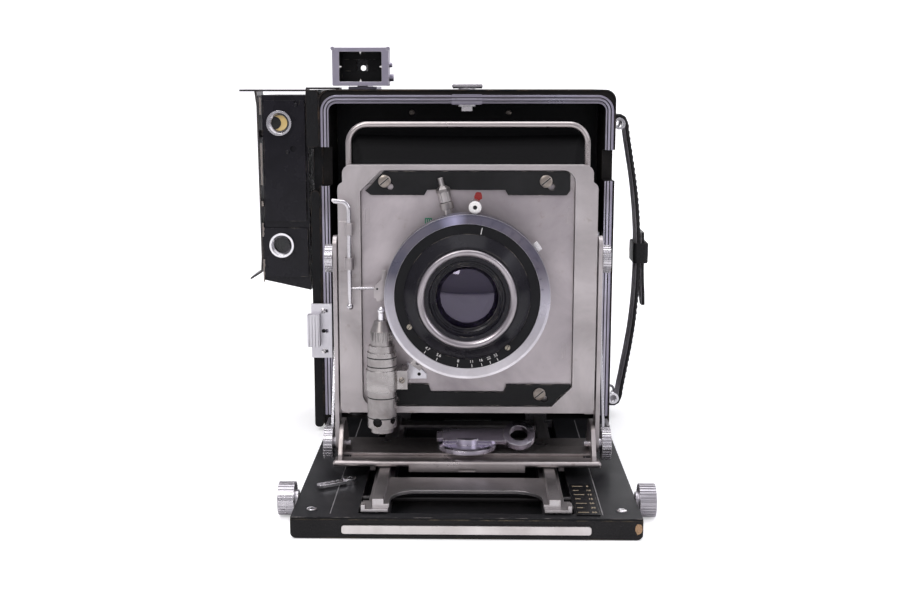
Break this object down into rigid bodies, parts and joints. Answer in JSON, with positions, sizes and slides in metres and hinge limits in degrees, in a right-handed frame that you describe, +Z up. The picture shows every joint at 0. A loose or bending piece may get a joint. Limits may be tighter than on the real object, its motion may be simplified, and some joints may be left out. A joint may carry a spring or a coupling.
{
  "type": "folding camera",
  "caption": "Folding plate camera open on its drop bed: box body with side rangefinder and finder, railed front standard, shutter and lens, spring back.",
  "frame": {"origin": "centre of the tripod socket's mouth on the underside", "axes": "+Z up, -Y the way the lens looks, +X towards the strap side"},
  "size_m": [0.2341, 0.2682, 0.2185],
  "materials": {
    "black_leather": "fine-grained, worn at the edges",
    "dark_wood": "black stained box",
    "rim_metal": "ribbed, satin",
    "satin_metal": "satin nickel, lightly stained",
    "chrome": "bright plated",
    "knurled_metal": "straight knurled",
    "dial_metal": "satin dial",
    "black_paint": "black enamel",
    "bellows_cloth": "pleated, matt",
    "brass": "threaded bush",
    "optical_glass": "coated",
    "frosted_glass": "ground"
  },
  "bodies": {
    "root": {"body_shell": "dark_wood", "body_leather": "black_leather", "front_trim": "rim_metal", "release_cover": "black_leather", "release_plate": "satin_metal", "body_rails": "satin_metal", "bellows": "bellows_cloth", "bellows_frame": "black_paint", "hinge_pin": "chrome", "tripod_socket": "brass", "rangefinder_housing": "black_paint", "rangefinder_windows": "chrome", "flash_bracket": "satin_metal", "finder_body": "satin_metal", "finder_glasses": "optical_glass", "strap_lugs": "chrome", "strap": "black_leather", "back_frame": "black_paint"},
    "button": {"bed_release_button": "chrome"},
    "release": {"release_slider": "satin_metal"},
    "eyepiece": {"finder_eyepiece": "black_paint"},
    "rf_lever": {"rangefinder_lever": "black_paint"},
    "panel": {"focusing_panel": "black_paint", "ground_glass": "frosted_glass", "panel_springs": "satin_metal"},
    "hood": {"focusing_hood": "black_paint"},
    "peep": {"peep_sight": "black_paint"},
    "bed": {"bed_panel": "black_paint", "bed_covering": "black_leather", "bed_front_strip": "chrome", "bed_tracks": "satin_metal", "distance_scale": "black_paint"},
    "focus_lock": {"focus_lock_lever": "chrome"},
    "brace_l": {"brace_left": "chrome"},
    "brace_r": {"brace_right": "chrome"},
    "rails": {"focus_rails": "satin_metal"},
    "knobs": {"focus_knobs": "knurled_metal"},
    "standard": {"standard_base": "satin_metal"},
    "clamp": {"clamp_lever": "chrome"},
    "carrier": {"shift_carrier": "satin_metal"},
    "tilt_l": {"tilt_knob_left": "knurled_metal"},
    "tilt_r": {"tilt_knob_right": "knurled_metal"},
    "yoke": {"standard_yoke": "satin_metal"},
    "front": {"lens_frame": "satin_metal", "lens_board": "satin_metal", "board_catch": "black_paint", "shutter_body": "black_paint", "lens_barrel": "black_paint", "lens_glass": "optical_glass", "iris_blades": "black_paint", "solenoid": "satin_metal"},
    "rise_l": {"rise_knob_left": "knurled_metal"},
    "rise_r": {"rise_knob_right": "knurled_metal"},
    "wire": {"wire_finder": "chrome"},
    "lock": {"board_lock": "black_paint"},
    "ring": {"speed_ring": "dial_metal"},
    "aperture": {"aperture_lever": "chrome"},
    "cocking": {"cocking_lever": "chrome"},
    "plunger": {"solenoid_plunger": "chrome"},
    "rod": {"release_rod": "chrome"}
  },
  "joints": [
    {"name": "bed_hinge", "type": "hinge", "parent": "root", "child": "bed", "pos_m": [0, -0.0435, 0.004], "axis": [1, 0, 0], "range_deg": [0, 15], "deforming": ["bellows"]},
    {"name": "brace_left_pivot", "type": "hinge", "parent": "bed", "child": "brace_l", "pos_m": [-0.074, -0.076, 0.013], "axis": [1, 0, 0], "range_deg": [-14, 0.5]},
    {"name": "brace_right_pivot", "type": "hinge", "parent": "bed", "child": "brace_r", "pos_m": [0.074, -0.076, 0.013], "axis": [1, 0, 0], "range_deg": [-14, 0.5]},
    {"name": "focus_rack", "type": "slide", "parent": "bed", "child": "rails", "axis": [0, -1, 0], "range_m": [0, 0.05], "deforming": ["bellows"]},
    {"name": "focus_knob_turn", "type": "hinge", "parent": "bed", "child": "knobs", "pos_m": [0, -0.182, 0.0078], "axis": [1, 0, 0], "range_deg": [-2, 1085]},
    {"name": "rangefinder_follow", "type": "hinge", "parent": "root", "child": "rf_lever", "pos_m": [-0.066, -0.024, 0.0088], "axis": [0, 0, 1], "range_deg": [-0.5, 26]},
    {"name": "standard_slide", "type": "slide", "parent": "rails", "child": "standard", "axis": [0, -1, 0], "range_m": [-0.042, 0.028], "deforming": ["bellows"]},
    {"name": "standard_clamp", "type": "hinge", "parent": "standard", "child": "clamp", "pos_m": [0, -0.141, 0.0199], "axis": [0, 0, -1], "range_deg": [0, 50]},
    {"name": "front_shift", "type": "slide", "parent": "standard", "child": "carrier", "axis": [1, 0, 0], "range_m": [-0.009, 0.009], "deforming": ["bellows"]},
    {"name": "tilt_knob_left_turn", "type": "hinge", "parent": "carrier", "child": "tilt_l", "pos_m": [-0.0687, -0.138, 0.0218], "axis": [1, 0, 0], "range_deg": [0, 360]},
    {"name": "tilt_knob_right_turn", "type": "hinge", "parent": "carrier", "child": "tilt_r", "pos_m": [0.0687, -0.138, 0.0218], "axis": [1, 0, 0], "range_deg": [0, 360]},
    {"name": "front_tilt", "type": "hinge", "parent": "carrier", "child": "yoke", "pos_m": [0, -0.138, 0.0218], "axis": [-1, 0, 0], "range_deg": [0, 15], "deforming": ["bellows"]},
    {"name": "front_rise", "type": "slide", "parent": "yoke", "child": "front", "axis": [0, 0, 1], "range_m": [0, 0.019], "deforming": ["bellows"]},
    {"name": "rise_knob_left_turn", "type": "hinge", "parent": "yoke", "child": "rise_l", "pos_m": [-0.0668, -0.1402, 0.1148], "axis": [1, 0, 0], "range_deg": [0, 360]},
    {"name": "rise_knob_right_turn", "type": "hinge", "parent": "yoke", "child": "rise_r", "pos_m": [0.0668, -0.1402, 0.1148], "axis": [1, 0, 0], "range_deg": [0, 360]},
    {"name": "wire_finder_slide", "type": "slide", "parent": "front", "child": "wire", "axis": [0, 0, 1], "range_m": [-0.016, 0.05]},
    {"name": "board_lock_slide", "type": "slide", "parent": "front", "child": "lock", "axis": [0.7071, 0, -0.7071], "range_m": [0, 0.0036]},
    {"name": "speed_ring_turn", "type": "hinge", "parent": "front", "child": "ring", "pos_m": [0, -0.163, 0.1005], "axis": [0, 1, 0], "range_deg": [-60, 60]},
    {"name": "aperture_turn", "type": "hinge", "parent": "front", "child": "aperture", "pos_m": [0, -0.1569, 0.1005], "axis": [0, -1, 0], "range_deg": [0, 60]},
    {"name": "cocking_turn", "type": "hinge", "parent": "front", "child": "cocking", "pos_m": [0, -0.1544, 0.1005], "axis": [0, -1, 0], "range_deg": [0, 40]},
    {"name": "solenoid_pull", "type": "slide", "parent": "front", "child": "plunger", "axis": [0, 0, 1], "range_m": [0, 0.003]},
    {"name": "release_rod_turn", "type": "hinge", "parent": "front", "child": "rod", "pos_m": [-0.056, -0.152, 0.12], "axis": [0, 0, -1], "range_deg": [0, 12]},
    {"name": "focus_lock_turn", "type": "hinge", "parent": "bed", "child": "focus_lock", "pos_m": [-0.056, -0.166, 0.011], "axis": [0, 0, 1], "range_deg": [0, 35]},
    {"name": "bed_release_press", "type": "slide", "parent": "root", "child": "button", "axis": [0, 0, -1], "range_m": [0, 0.0007]},
    {"name": "body_release_slide", "type": "slide", "parent": "root", "child": "release", "axis": [0, 0, -1], "range_m": [0, 0.005]},
    {"name": "finder_parallax_slide", "type": "slide", "parent": "root", "child": "eyepiece", "axis": [0, 0, 1], "range_m": [-0.0015, 0.0015]},
    {"name": "back_spring_slide", "type": "slide", "parent": "root", "child": "panel", "axis": [0, 1, 0], "range_m": [0, 0.012]},
    {"name": "hood_hinge", "type": "hinge", "parent": "panel", "child": "hood", "pos_m": [-0.001, 0.0522, 0.1515], "axis": [1, 0, 0], "range_deg": [0, 95]},
    {"name": "peep_sight_hinge", "type": "hinge", "parent": "root", "child": "peep", "pos_m": [-0.001, 0.03, 0.1973], "axis": [-1, 0, 0], "range_deg": [0, 90]}
  ],
  "couplings": [
    {"joint": "brace_left_pivot", "follows": "bed_hinge", "ratio": -0.9015},
    {"joint": "brace_right_pivot", "follows": "bed_hinge", "ratio": -0.9015},
    {"joint": "focus_knob_turn", "follows": "focus_rack", "rad_per_m": 377.36},
    {"joint": "rangefinder_follow", "follows": "focus_rack", "rad_per_m": 8}
  ]
}
